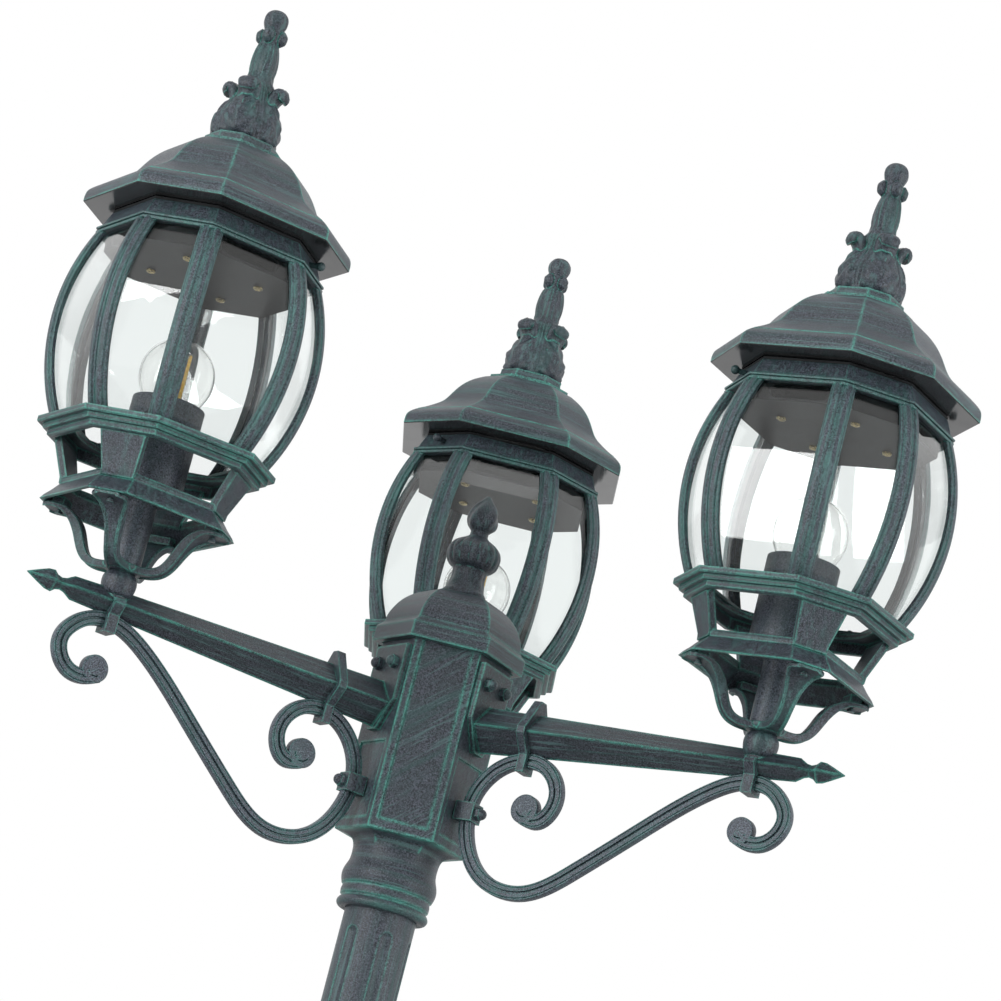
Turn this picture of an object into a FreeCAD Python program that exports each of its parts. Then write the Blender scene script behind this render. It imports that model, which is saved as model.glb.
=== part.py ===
"""Three-lantern street lamp post, in millimetres.

+Z is up and the origin is the centre of the base's underside. Three arms leave a hexagonal
hub at even spacing, and the front of the post, -Y, is the blank hub face between two arms.
Every arm and lantern is drawn once, with its arm along +X, and is then turned into place.
Heights inside the head are measured from arm_level, the seats of the lantern stems.
"""
import FreeCAD, Part
import math
import os

V = FreeCAD.Vector
UP = V(0, 0, 1)

# ---- overall sizes ----
arm_level = 1742.5          # ground to the lantern stems' seats
arm_reach = 274.5           # post axis to lantern axis
arm_angles = {"left": -150.0, "right": -30.0, "rear": 90.0}

# ---- post and base ----
tube_r = 27.0               # post tubes, outside
tube_wall = 5.0
tube_spigot = 36.0          # length of tube held in each socket
flute_count = 6
flute_first = -70.0
flute_r = 8.0
flute_depth = 2.2
flute_gap = 12.0            # plain tube left beside each collar
foot_r = 120.0
foot_t = 12.0
anchor_pcd = 200.0
anchor_r = 6.0
bell_r = 84.0
bell_top = 210.0
base_height = 300.0
base_wall = 6.0
cable_bore_r = 20.0
joint_level = 1000.0        # top of the collar that joins the two tubes
joint_height = 62.0

# ---- hub ----
hub_r = 49.5                # corner radius of the hexagonal housing
hub_wall = 4.0
hub_top = 50.0
hub_bottom = -105.5
border = 6.0
panel_depth = 1.2
panel_under = 3.0           # how far the sunk panels run up behind the cap's eave
neck_bottom = -161.0
neck_plate = 2.5
neck_screw_z = -141.0
grub_r = 2.5
fascia_out = 8.2            # cap's eave beyond the housing's corners
fascia_drop = 10.0          # how far the cap hangs down round the housing
cap_gap = 1.5
cap_rise = 38.0
hub_finial_r = 16.0
tie_r = 4.0
tie_gap = 0.4
bridge_z = 26.0
bridge_t = 5.0

# ---- arm, clamps and scroll ----
arm_z = -11.5               # axis of the square tube that is set on edge
arm_wall = 3.0
arm_root_diag = 18.0
arm_mid_diag = 15.0
arm_end_diag = 10.6
arm_block_diag = 9.0
boss_rise = 0.3             # stem's seat above the arm's top edge
spear_diag = 8.2
spear_length = 71.0         # lantern axis to the spear's tip
boss_r = 9.0
flange_t = 4.6
flange_half = 22.0
flange_top = 35.0
flange_low = -31.0
bolt_half = 11.5
bolt_z = 20.5
bolt_r = 2.5
nut_r = 5.2
nut_h = 3.6
inner_clamp_at = 42.1       # hub face to the inner clamp
inner_clamp_w = 7.0
outer_clamp_half = 4.5
clamp_t = 3.5
bar_w = 8.0                 # scroll bar, across the arm
bar_h = 11.0                # scroll bar, in the scroll's own plane
eye_w = 8.0
eye_r = 11.6
clip_z = -75.0
clip_h = 14.0
clip_t = 3.0
clip_out = 15.9             # hub face to the saddle's outer face

# ---- lantern ----
octagon_half = 18.6         # half the angle that a narrow side covers
skirt_half = 12.0
stem_r = 12.5
stem_h = 12.0
hub_disc_r = 15.0
hub_disc_t = 6.0
pipe_r = 5.0                # hollow threaded pipe that ties cup, cradle, stem and arm
pipe_bore_r = 3.5
cup_r = 26.8
cup_wall = 2.4
cup_bottom = 69.0
cup_top = 142.0
column_r = 12.0
leg_top = 52.0
leg_w = 12.0
leg_t = 7.5
pad_w = 27.0
pad_t = 3.5
pad_screw_r = 60.0
skirt_wall = 3.0
gallery_top = 109.0
gallery_low = 96.0
gallery_open_r = 60.0
gallery_insets = (11.5, 16.5, 21.0)     # each moulding, in from the cage's fullest
cage_r = 100.5              # corner radius of the cage at its fullest
cage_mid = 187.0
cage_arc = 160.0            # radius of the ribs' bow
rib_w = 10.0                # each rib's wing, from the corner
rib_t = 4.2
foot_ring_t = 2.0
foot_ring_in = 60.0
pane_t = 2.4
pane_gap = 0.6
frieze_low = 254.0
frieze_top = 272.0
frieze_inset = 14.5         # frieze's lip, in from the cage's fullest
frieze_step = 8.5
frieze_wall = 2.0
lip_t = 3.5
tray_gap = 0.5
tray_wall = 2.0
tray_floor = 241.0
vent_z = 248.5                # slots in the tray's wide sides
vent_r = 5.2
vent_half = 24.0
tray_rim = 2.0
thumb_z = 265.0
thumb_r = 2.0
eave_over = 0.5             # eave beyond the cage's fullest
roof_wall = 3.0
collar_top = 349.0
collar_r = 28.0
finial_ball_r = 9.0
finial_top = 457.5
screw_head_r = 2.8
screw_head_h = 2.2
screw_ring_r = 65.4

# ---- lamp ----
holder_r = 19.5
holder_low = 74.0
holder_top = 120.0
socket_r = 14.0
socket_floor = 93.0
lamp_cap_r = 13.2
lamp_neck = 119.0
lamp_bulge_z = 164.5
lamp_bulge_r = 27.5
lamp_top = 192.0
lamp_wall = 1.0
filament_r = 1.1
filament_ring = 6.0
filament_low = 147.0
filament_high = 181.0

boss_z = arm_z + arm_end_diag + boss_rise
cos30 = math.cos(math.radians(30))
hub_flat = hub_r * cos30
fascia_r = hub_r + fascia_out
outer_eye_x = arm_reach + 1.5
inner_eye_x = hub_flat + 55.7
gallery_rs = [cage_r - inset for inset in gallery_insets]
frieze_lip_r = cage_r - frieze_inset
frieze_r = frieze_lip_r - frieze_step
frieze_in = frieze_r - frieze_wall
eave_r = cage_r + eave_over
slope_steps = 9


# ---- helpers ----
def polar(r, angle, z=0.0):
    a = math.radians(angle)
    return V(r * math.cos(a), r * math.sin(a), z)


def loop(points):
    return Part.makePolygon(list(points) + [points[0]])


def octagon(r, z, half=octagon_half):
    """Octagon with narrow sides facing 45, 135, 225 and 315 degrees."""
    return loop([polar(r, 45 + 90 * k + s * half, z) for k in range(4) for s in (-1, 1)])


def hexagon(r, z):
    return loop([polar(r, 60 * k, z) for k in range(6)])


def stack(wires):
    """Solid through closed outlines, one above the other."""
    return Part.makeLoft(wires, True, True)


def levels(outline, sections):
    return stack([outline(r, z) for r, z in sections])


def turned(profile):
    """Solid of revolution about Z. A list inside the (r, z) profile is a smooth stretch."""
    edges = []
    first = last = V(profile[0][0], 0, profile[0][1])
    for item in profile[1:]:
        if isinstance(item, list):
            curve = Part.BSplineCurve()
            points = [V(r, 0, z) for r, z in item]
            curve.interpolate([last] + points)
            edges.append(curve.toShape())
            last = points[-1]
        else:
            point = V(item[0], 0, item[1])
            edges.append(Part.makeLine(last, point))
            last = point
    if last.distanceToPoint(first) > 1e-6:
        edges.append(Part.makeLine(last, first))
    return Part.Face(Part.Wire(edges)).revolve(V(0, 0, 0), UP, 360)


def rod(r, low, high):
    return Part.makeCylinder(r, high - low, V(0, 0, low))


def rod_along_x(r, x0, x1, y, z):
    return Part.makeCylinder(r, x1 - x0, V(x0, y, z), V(1, 0, 0))


def block(x0, x1, half_y, z0, z1):
    return Part.makeBox(x1 - x0, 2 * half_y, z1 - z0, V(x0, -half_y, z0))


def spun(shape, angle):
    copy = shape.copy()
    copy.rotate(V(0, 0, 0), UP, angle)
    return copy


def ring_of(shape, angles):
    return [spun(shape, a) for a in angles]


def joined(shapes):
    result = shapes[0].fuse(shapes[1:]) if len(shapes) > 1 else shapes[0]
    return result.removeSplitter()


def group(shapes):
    """Separate, identical solids that share one file."""
    solids = [solid for shape in shapes for solid in shape.Solids]
    return Part.makeCompound(solids)


def dome_nut(size_r, height, x, y, z):
    """Domed hexagonal nut on a face that looks along +X."""
    corners = [V(x, y + size_r * math.cos(a), z + size_r * math.sin(a))
               for a in (math.radians(60 * k + 30) for k in range(6))]
    body = Part.Face(loop(corners)).extrude(V(height, 0, 0))
    dome = Part.makeSphere(size_r * 0.8, V(x + height, y, z))
    cutter = block(x - size_r, x, 2 * size_r + abs(y), z - size_r, z + size_r)
    return joined([body, dome.cut(cutter)])


# ---- post and base ----
def fluted_tube(low, high, plain_low, plain_high):
    tube = rod(tube_r, low, high).cut(rod(tube_r - tube_wall, low, high))
    start = plain_low + flute_gap + flute_r
    end = plain_high - flute_gap - flute_r
    away = tube_r + flute_r - flute_depth
    cutter = joined([
        rod(flute_r, start, end),
        Part.makeSphere(flute_r, V(0, 0, start)),
        Part.makeSphere(flute_r, V(0, 0, end)),
    ])
    cutter.translate(V(away, 0, 0))
    step = 360 / flute_count
    return tube.cut(ring_of(cutter, [flute_first + step * k for k in range(flute_count)]))


def make_base():
    seat = base_height - tube_spigot
    profile = [
        (foot_r, 0), (foot_r, foot_t), (foot_r - 8, foot_t + 4), (foot_r - 12, foot_t + 12),
        [(78, 62), (56, 130), (46, bell_top)],
        (52, bell_top), (54, bell_top + 6), (52, bell_top + 12), (tube_r + 16, bell_top + 14),
        [(tube_r + 12, bell_top + 40), (tube_r + 9, base_height - 22)],
        (tube_r + 13, base_height - 20), (tube_r + 13, base_height - 4),
        (tube_r + 11, base_height), (tube_r, base_height),
        (tube_r, seat), (cable_bore_r, seat), (cable_bore_r, seat - base_wall),
        (tube_r + 9 - base_wall, seat - base_wall - 6),
        [(46 - base_wall, bell_top - 8), (56 - base_wall, 128), (78 - base_wall, 60),
         (bell_r, foot_t)],
        (bell_r, 0),
    ]
    base = turned(profile)
    hole = rod(anchor_r, -1, 2 * foot_t + 20)
    hole.translate(V(anchor_pcd / 2, 0, 0))
    spot = rod(anchor_r * 2.2, foot_t, 3 * foot_t)
    spot.translate(V(anchor_pcd / 2, 0, 0))
    return base.cut(ring_of(joined([hole, spot]), [45 + 90 * k for k in range(4)]))


def make_post_lower():
    top = joint_level - joint_height / 2 - 2
    return fluted_tube(base_height - tube_spigot, top, base_height, joint_level - joint_height)


def make_joint_ring():
    top = joint_level
    low = top - joint_height
    mid = (top + low) / 2
    r = tube_r
    profile = [
        (r, low), (r + 4, low), (r + 7, low + 3), (r + 7, low + 8), (r + 4.5, low + 11),
        [(r + 6, mid - 12), (r + 9, mid), (r + 6, mid + 12)],
        (r + 4.5, top - 11), (r + 7, top - 8), (r + 7, top - 3), (r + 4, top), (r, top),
        (tube_r, mid + 2), (cable_bore_r, mid + 2), (cable_bore_r, mid - 2), (tube_r, mid - 2),
    ]
    return turned(profile)


def make_post_upper():
    low = joint_level - joint_height / 2 + 2
    high = arm_level + neck_bottom + tube_spigot
    return fluted_tube(low, high, joint_level, arm_level + neck_bottom)


# ---- hub ----
def make_hub_neck():
    low = neck_bottom
    seat = low + tube_spigot
    top = hub_bottom
    r = tube_r
    profile = [
        (r, low), (r + 0.8, low), [(r + 7, low + 2), (r + 7.8, low + 4.5), (r + 6.2, low + 7)],
        (r + 5, low + 8), (r + 6.2, low + 10), (r + 6.6, low + 15), (r + 6, low + 16.5),
        (r + 8.2, low + 19), [(r + 8.8, low + 25), (r + 6.2, low + 34), (r + 5.6, low + 41)],
        [(r + 7.5, top - 7), (hub_flat - 0.5, top - neck_plate)],
        (hub_flat - 0.5, top), (cable_bore_r, top), (cable_bore_r, seat), (tube_r, seat),
    ]
    neck = turned(profile)
    plate = levels(hexagon, [(hub_r, top - neck_plate), (hub_r, top)])
    plate = plate.cut(rod(cable_bore_r, top - 2 * neck_plate, top + 1))
    screw = rod_along_x(grub_r, tube_r - 1, tube_r + 13, 0, neck_screw_z)
    neck = joined([neck, plate]).cut(ring_of(screw, (-60, 60, 180)))
    neck.translate(V(0, 0, arm_level))
    return neck


def make_neck_screws():
    screw = rod_along_x(grub_r, tube_r, tube_r + 7.4, 0, neck_screw_z)
    hexes = rod_along_x(1.3, tube_r + 5.4, tube_r + 9, 0, neck_screw_z)
    screws = ring_of(screw.cut(hexes), (-60, 60, 180))
    for s in screws:
        s.translate(V(0, 0, arm_level))
    return group(screws)


def hub_holes():
    """Cable hole and bolt holes of one arm, and its scroll's bolt hole."""
    inside = hub_flat - 2 * hub_wall
    outside = hub_flat + 4 * flange_t
    holes = [rod_along_x(bolt_r, inside, outside, s * bolt_half, bolt_z) for s in (-1, 1)]
    holes.append(rod_along_x(bolt_r, inside, outside, 0, clip_z))
    holes.append(rod_along_x(8.0, inside, hub_flat + 1, 0, arm_z))
    return holes


def make_hub_housing():
    shell = levels(hexagon, [(hub_r, hub_bottom), (hub_r, hub_top)])
    inner_r = hub_r - hub_wall / cos30
    shell = shell.cut(levels(hexagon, [(inner_r, hub_bottom + hub_wall), (inner_r, hub_top + 1)]))
    shell = shell.cut(rod(cable_bore_r - 4, hub_bottom - 1, hub_bottom + 2 * hub_wall))
    half = hub_r / 2 - border
    low = hub_bottom + border + 2
    high = hub_top - fascia_drop + panel_under
    panel = block(hub_flat - panel_depth, hub_flat + 1, half, low, high)
    shell = shell.cut(ring_of(panel, (-90, 30, 150)))
    under = block(hub_flat - panel_depth, hub_flat + 1, half, low, flange_low - 8)
    shell = shell.cut(ring_of(under, arm_angles.values()))
    bridge = block(-inner_r * cos30, inner_r * cos30, 8, bridge_z, bridge_z + bridge_t)
    bridge = spun(bridge, 90).cut(rod(tie_r + tie_gap, bridge_z - 1, bridge_z + bridge_t + 1))
    shell = joined([shell, bridge])
    for hole in hub_holes():
        shell = shell.cut(ring_of(hole, arm_angles.values()))
    shell.translate(V(0, 0, arm_level))
    return shell


def make_terminal_block():
    floor = arm_level + hub_bottom + hub_wall
    body = Part.makeBox(34, 12, 18, V(-17, 18, floor))
    entries = [Part.makeCylinder(2.5, 30, V(x, 10, floor + 7), V(0, 1, 0)) for x in (-10, 0, 10)]
    screws = [Part.makeCylinder(2.2, 6, V(x, 24, floor + 13)) for x in (-10, 0, 10)]
    return body.cut(entries + screws)


def make_hub_cap():
    low = hub_top - fascia_drop
    crown = [(0.3, low - hub_top), (0, 2), (2.5, 4.5), (5.1, 6.5), (5.5, 8.7), (6.3, 13),
             (8.7, 18), (12.2, 24), (17.7, 30), (24.7, 34.5), (31.7, 37)]
    sections = [(fascia_r - inset, hub_top + rise) for inset, rise in crown]
    outer = levels(hexagon, sections + [(hub_finial_r + 1, hub_top + cap_rise)])
    skirt_in = hub_r + cap_gap
    skirt = levels(hexagon, [(skirt_in, low - 1), (skirt_in, hub_top)])
    vault = [(9.7, 12), (12.2, 17), (15.7, 22.5), (21.2, 28), (28.2, 31.5), (43.7, 34)]
    hollow = levels(hexagon, [(hub_r - 3, hub_top - 1)] +
                    [(fascia_r - inset, hub_top + rise) for inset, rise in vault])
    cap = outer.cut([skirt, hollow, rod(tie_r, low, 100)])
    cap.translate(V(0, 0, arm_level))
    return cap


def make_hub_finial():
    low = hub_top + cap_rise
    tie_low = bridge_z - 4
    profile = [
        (0, tie_low), (tie_r, tie_low), (tie_r, low), (hub_finial_r, low), (16.7, 92.0), (15.6, 94.0),
        [(13.8, 99.5), (12.6, 106.0), (13.0, 109.0)],
        (18.0, 113.5), [(20.0, 119.0), (19.6, 126.0), (15.5, 132.0), (10.3, 135.0)],
        (7.0, 138.0), (6.8, 140.0), [(8.5, 144.6), (11.4, 151.5), (8.2, 160.0), (2.0, 168.5)],
        (0, 169.7),
    ]
    finial = turned(profile)
    finial.translate(V(0, 0, arm_level))
    return finial


# ---- arm ----
def diamond(x, diag):
    return loop([V(x, diag, arm_z), V(x, 0, arm_z + diag), V(x, -diag, arm_z),
                 V(x, 0, arm_z - diag)])


def arm_outline():
    """Outside of the arm's tube, from the flange to the end block, with the stem's boss."""
    end = arm_reach + 34
    sections = [
        (hub_flat + flange_t / 2, arm_root_diag), (hub_flat + 45.1, 16.0),
        (hub_flat + 69.1, arm_mid_diag), (hub_flat + 107.1, 13.4), (arm_reach - 29.5, 11.2),
        (arm_reach, arm_end_diag), (end, arm_block_diag),
    ]
    boss = Part.makeCylinder(boss_r, boss_z - arm_z, V(arm_reach, 0, arm_z))
    return joined([stack([diamond(x, d) for x, d in sections]), boss])


def make_arm(outline):
    tip = arm_reach + spear_length
    spear = stack([diamond(x, d) for x, d in [
        (arm_reach + 34, arm_block_diag), (arm_reach + 40, 5.4), (arm_reach + 43.5, 4.6),
        (arm_reach + 47, 5.6), (arm_reach + 50, spear_diag), (arm_reach + 55, spear_diag - 0.6),
        (arm_reach + 62, 4.6), (tip, 0.4),
    ]])
    outline_points = [(-flange_half, flange_top), (flange_half, flange_top), (flange_half, -8.0),
                      (6.0, flange_low), (-6.0, flange_low), (-flange_half, -8.0)]
    flange = Part.Face(loop([V(hub_flat, y, z) for y, z in outline_points]))
    flange = flange.extrude(V(flange_t, 0, 0))
    arm = joined([outline, spear, flange])
    inset = arm_wall * math.sqrt(2)
    hollow = stack([diamond(x, d - inset) for x, d in [
        (hub_flat - 1, arm_root_diag), (hub_flat + 45.1, 16.0), (hub_flat + 69.1, arm_mid_diag),
        (hub_flat + 107.1, 13.4), (arm_reach - 29.5, 11.2), (arm_reach + 12, arm_end_diag - 0.3),
    ]])
    pipe_hole = Part.makeCylinder(pipe_r, 40, V(arm_reach, 0, arm_z))
    return arm.cut([hollow, pipe_hole] + hub_holes()[:2])


def make_arm_bolts():
    seat = hub_flat + flange_t
    parts = []
    for side in (-1, 1):
        shank = rod_along_x(bolt_r, hub_flat - hub_wall - 3, seat, side * bolt_half, bolt_z)
        nut = dome_nut(nut_r, nut_h, seat, side * bolt_half, bolt_z)
        parts.append(joined([shank, nut]))
    return parts


def scroll_line():
    """Points of the scroll's middle line: an outer curl under the lantern, a slant, a hub curl."""
    outer = [(-2.5, -67), (6.5, -71.7), (19, -71.5), (30, -62), (32.8, -48), (27, -37),
             (16, -28.2), (0.5, -25)]
    slant = [(0.797, -38), (0.549, -71), (0.290, -108)]
    inner = [(68.1, -129.5), (33.1, -122), (12.1, -93), (10.1, -62), (34.1, -34), (64.1, -34),
             (78.1, -60), (67.1, -75), (55.1, -73)]
    points = [(arm_reach + x, z) for x, z in outer]
    span = outer_eye_x - inner_eye_x
    points += [(inner_eye_x + share * span, z) for share, z in slant]
    points += [(hub_flat + x, z) for x, z in inner]
    return [V(x, 0, z) for x, z in points]


def make_scroll(outline):
    """Bar bent into an S with an eye at each end, notched where it lies under the arm."""
    points = scroll_line()
    curve = Part.BSplineCurve()
    curve.interpolate(points)
    spine = Part.Wire(curve.toShape())
    start = curve.value(curve.FirstParameter)
    along = curve.tangent(curve.FirstParameter)[0]
    across = V(0, 1, 0).cross(along)
    corners = [start + across * (i * bar_h / 2) + V(0, j * bar_w / 2, 0)
               for i, j in ((-1, -1), (1, -1), (1, 1), (-1, 1))]
    sweep = Part.BRepOffsetAPI.MakePipeShell(spine)
    sweep.setBiNormalMode(V(0, 1, 0))
    sweep.add(loop(corners))
    sweep.build()
    sweep.makeSolid()
    eyes = [Part.makeCylinder(eye_r, eye_w, V(x, -eye_w / 2, z), V(0, 1, 0))
            for x, z in ((outer_eye_x, -65), (inner_eye_x, -67))]
    bolt_hole = rod_along_x(bolt_r, hub_flat, hub_flat + 37, 0, clip_z)
    return joined([sweep.shape()] + eyes).cut([outline, bolt_hole])


def clamp(x0, x1, points, outline, scroll):
    both = points + [(-y, z) for y, z in reversed(points)]
    face = Part.Face(loop([V(x0, y, z) for y, z in both]))
    return face.extrude(V(x1 - x0, 0, 0)).cut([outline, scroll])


def make_inner_clamp(outline, scroll):
    wide = 16.0 + clamp_t
    points = [(3.5, 15.0), (wide, -9.0), (wide, -14.0), (bar_w / 2 + clamp_t, -27.0),
              (bar_w / 2 + clamp_t, -40.5)]
    x0 = hub_flat + inner_clamp_at
    band = clamp(x0, x0 + inner_clamp_w, points, outline, scroll)
    return max(band.Solids, key=lambda s: s.Volume)


def make_outer_clamp(outline, scroll):
    wide = arm_end_diag + clamp_t * 0.7
    points = [(wide - 1.5, -9.0), (wide, -12.5), (bar_w / 2 + clamp_t, -20.5),
              (bar_w / 2 + clamp_t, -25.2 - bar_h / 2 - clamp_t)]
    x0 = arm_reach - outer_clamp_half
    band = clamp(x0, arm_reach + outer_clamp_half, points, outline, scroll)
    return max(band.Solids, key=lambda s: s.Volume)


def make_clip(scroll):
    out = hub_flat + clip_out
    saddle = block(hub_flat, out, bar_w / 2 + clip_t, clip_z - clip_h / 2, clip_z + clip_h / 2)
    return saddle.cut([scroll, rod_along_x(bolt_r, hub_flat - 1, out + 1, 0, clip_z)])


def make_clip_bolt():
    out = hub_flat + clip_out
    shank = rod_along_x(bolt_r, hub_flat - hub_wall - 3, out, 0, clip_z)
    return joined([shank, dome_nut(nut_r, nut_h, out, 0, clip_z)])


# ---- lantern body ----
def make_stem():
    low = boss_z
    profile = [
        (pipe_r, low), (boss_r, low), (boss_r + 0.5, low + 1.5),
        [(stem_r, low + 5.5), (stem_r, low + 8.5), (9.8, low + stem_h)],
        (pipe_r, low + stem_h),
    ]
    return turned(profile)


def leg_section(r, z, tilt, width, depth):
    """Rectangle across a leg whose line leans by tilt from straight up."""
    t = math.radians(tilt)
    dr = depth / 2 * math.cos(t)
    dz = depth / 2 * math.sin(t)
    return loop([V(r - dr, -width / 2, z + dz), V(r + dr, -width / 2, z - dz),
                 V(r + dr, width / 2, z - dz), V(r - dr, width / 2, z + dz)])


def make_cradle():
    low = boss_z + stem_h
    disc = turned([(pipe_r, low), (10.5, low), (hub_disc_r, low + 2.5),
                   (hub_disc_r, low + hub_disc_t), (pipe_r, low + hub_disc_t)])
    wires = [
        leg_section(hub_disc_r - 4, low + 3.0, 90, leg_w + 2, 5.5),
        leg_section(22, low + 3.4, 82, leg_w, 6),
        leg_section(29, low + 6.0, 55, leg_w - 1.5, 6.5),
        leg_section(34.5, low + 12.5, 28, leg_w - 1.5, leg_t),
        leg_section(38.5, low + 21, 20, leg_w, leg_t),
        leg_section(42.5, low + 29, 30, leg_w + 3, leg_t),
        leg_section(48.5, leg_top - 7, 55, leg_w + 8, leg_t - 1),
        leg_section(55, leg_top - pad_t / 2, 90, pad_w - 3, pad_t),
    ]
    leg = stack(wires)
    pad_points = [(54, pad_w / 2 - 1.5), (66, pad_w / 2), (70.5, 8), (70.5, -8),
                  (66, -pad_w / 2), (54, 1.5 - pad_w / 2)]
    pad = Part.Face(loop([V(x, y, leg_top - pad_t) for x, y in pad_points]))
    pad = pad.extrude(V(0, 0, pad_t))
    screw_hole = Part.makeCylinder(2.0, 2 * pad_t, V(pad_screw_r, 0, leg_top - 1.5 * pad_t))
    angles = [45 + 90 * k for k in range(4)]
    return joined([disc] + ring_of(joined([leg, pad]).cut(screw_hole), angles))


def skirt_octagon(r, z):
    return octagon(r, z, skirt_half)


def make_gallery():
    top = gallery_top
    r1, r2, r3 = gallery_rs
    steps = [(r1 - 0.5, top - 4.5), (r1, top), (r2, top - 7.5), (r3 - 2, gallery_low)]
    ring = levels(octagon, [(steps[3][0], gallery_low), (r3, gallery_low + 1), (r3, top - 8)])
    second = levels(octagon, [(r2 - 0.6, top - 8), (r2, top - 7), (r2, top - 4.5)])
    first = levels(octagon, [(r1 - 0.8, top - 4.5), (r1, top - 3.5), (r1, top)])
    opening = rod(gallery_open_r, gallery_low - 1, top + 1)
    room = levels(octagon, [(r3 - 6, gallery_low - 1), (r3 - 6, top - foot_ring_t * 2)])
    ring = joined([ring, second, first]).cut([opening, room])
    flare = [(60.5, 71), (61.5, 68.5), (61.0, 66), (66.0, 60), (70.5, 55.5), (73.0, leg_top)]
    outer = levels(skirt_octagon, list(reversed(flare)))
    inner = levels(skirt_octagon, [(r - skirt_wall, z + d) for (r, z), d in
                                   zip(reversed(flare), (-1, 0, 0, 0, 0, 1))])
    skirt = outer.cut(inner)
    narrow = math.cos(math.radians(skirt_half))
    strut = stack([
        leg_section(59.5 * narrow, 66, 0, 25, 6), leg_section(60.0 * narrow, 71, 0, 26, 6),
        leg_section(r3 - 11, gallery_low, 0, 35, 6), leg_section(r3 - 10, gallery_low + 4, 0, 36, 6),
    ])
    lug = block(55, 64, 8, leg_top, leg_top + 6)
    lug = lug.cut(Part.makeCylinder(1.6, 5, V(pad_screw_r, 0, leg_top - 1)))
    angles = [45 + 90 * k for k in range(4)]
    return joined([ring, skirt] + ring_of(strut, angles) + ring_of(lug, angles))


def bow(z):
    """Corner radius of the cage at height z: the ribs bow out along an arc."""
    return cage_r - cage_arc + math.sqrt(cage_arc ** 2 - (z - cage_mid) ** 2)


def bow_levels():
    low = gallery_top + foot_ring_t
    step = (frieze_low - low) / slope_steps
    return [low + step * k for k in range(slope_steps + 1)]


def rib_section(corner, side_a, side_b, r, z):
    """Angle-shaped outline that wraps one corner of the cage."""
    outer = polar(r, corner, z)
    inner = polar(r - rib_t, corner, z)
    return loop([outer, outer + side_a * rib_w, inner + side_a * rib_w, inner,
                 inner + side_b * rib_w, outer + side_b * rib_w])


def corner_angles():
    return [45 + 90 * k + s * octagon_half for k in range(4) for s in (-1, 1)]


def make_cage(thumb_angle):
    corners = corner_angles()
    ribs = []
    for i, corner in enumerate(corners):
        here = polar(1, corner)
        side_a = (polar(1, corners[i - 1]) - here).normalize()
        side_b = (polar(1, corners[(i + 1) % 8]) - here).normalize()
        ribs.append(stack([rib_section(corner, side_a, side_b, bow(z), z)
                           for z in bow_levels()]))
    foot = levels(octagon, [(bow(gallery_top), gallery_top),
                            (bow(gallery_top), gallery_top + foot_ring_t)])
    foot = foot.cut(rod(foot_ring_in, gallery_top - 1, gallery_top + 2 * foot_ring_t))
    frieze = levels(octagon, [
        (frieze_lip_r, frieze_low), (frieze_lip_r, frieze_low + lip_t),
        (frieze_r + 3, frieze_low + lip_t + 2.5), (frieze_r, frieze_top),
    ])
    frieze = frieze.cut(levels(octagon, [(frieze_in, frieze_low - 1),
                                         (frieze_in, frieze_top + 1)]))
    hole = rod_along_x(thumb_r, frieze_in - 15, frieze_r + 20, 0, thumb_z)
    cage = joined([foot, frieze] + ribs)
    return cage.cut(ring_of(hole, (thumb_angle, thumb_angle + 180)))


def make_panes():
    """Eight curved panes, flat from rib to rib, behind the ribs."""
    corners = corner_angles()
    panes = []
    for i, corner in enumerate(corners):
        wires = []
        for z in bow_levels():
            back = bow(z) - rib_t
            a = polar(back, corner, z)
            b = polar(back, corners[(i + 1) % 8], z)
            along = (b - a).normalize()
            inward = UP.cross(along)
            a = a + along * (pane_gap + pane_t)
            b = b - along * (pane_gap + pane_t)
            wires.append(loop([a, b, b + inward * pane_t, a + inward * pane_t]))
        panes.append(stack(wires))
    return group(panes)


def make_roof():
    top = collar_top
    sections = [
        (eave_r - 1, frieze_top + 2.5), (eave_r, frieze_top + 4), (eave_r, frieze_top + 9),
    ]
    slope = [(2.5, 284), (9, 290.5), (17, 295.5), (23.5, 300), (29.5, 305), (34, 311.5),
             (38, 318), (43.5, 325), (51.5, 332), (61, 337.5)]
    sections += [(eave_r - inset, z) for inset, z in slope]
    sections += [(collar_r + 9, 338.5), (collar_r + 8, 341)]
    outer = levels(octagon, sections)
    collar = levels(octagon, [(collar_r + 1, 339), (collar_r + 1, 342.5), (collar_r, 343.5),
                              (collar_r, top)])
    inside = [(r - roof_wall, z - roof_wall * 0.6) for r, z in sections[2:-2]]
    edge = eave_r - roof_wall
    hollow = levels(octagon, [(edge, frieze_top), (edge, frieze_top + 5)] + inside[1:])
    shell = joined([outer, collar]).cut(hollow)
    seat = frieze_top + tray_rim
    rim = levels(octagon, [(frieze_r + 1, seat), (frieze_r + 1, 298)])
    rim = rim.cut(levels(octagon, [(frieze_in - 2, seat - 1), (frieze_in - 2, 299)]))
    return joined([shell, rim])


def make_roof_plate():
    """Tray under the roof: its rim lies between roof and frieze, its wide sides are vented."""
    r = frieze_in - tray_gap
    body = levels(octagon, [(r, tray_floor), (r, frieze_top + tray_rim)])
    rim = levels(octagon, [(frieze_r, frieze_top), (frieze_r, frieze_top + tray_rim)])
    room = levels(octagon, [(r - tray_wall, tray_floor + tray_wall),
                            (r - tray_wall, frieze_top + tray_rim + 1)])
    outside = r * math.cos(math.radians(45 - octagon_half)) + 1
    inside = outside - 3 * tray_wall
    end = vent_half - vent_r
    vent = block(inside, outside, end, vent_z - vent_r, vent_z + vent_r)
    vent = joined([vent] + [rod_along_x(vent_r, inside, outside, s * end, vent_z)
                            for s in (-1, 1)])
    return joined([body, rim]).cut([room] + ring_of(vent, [90 * k for k in range(4)]))


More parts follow.
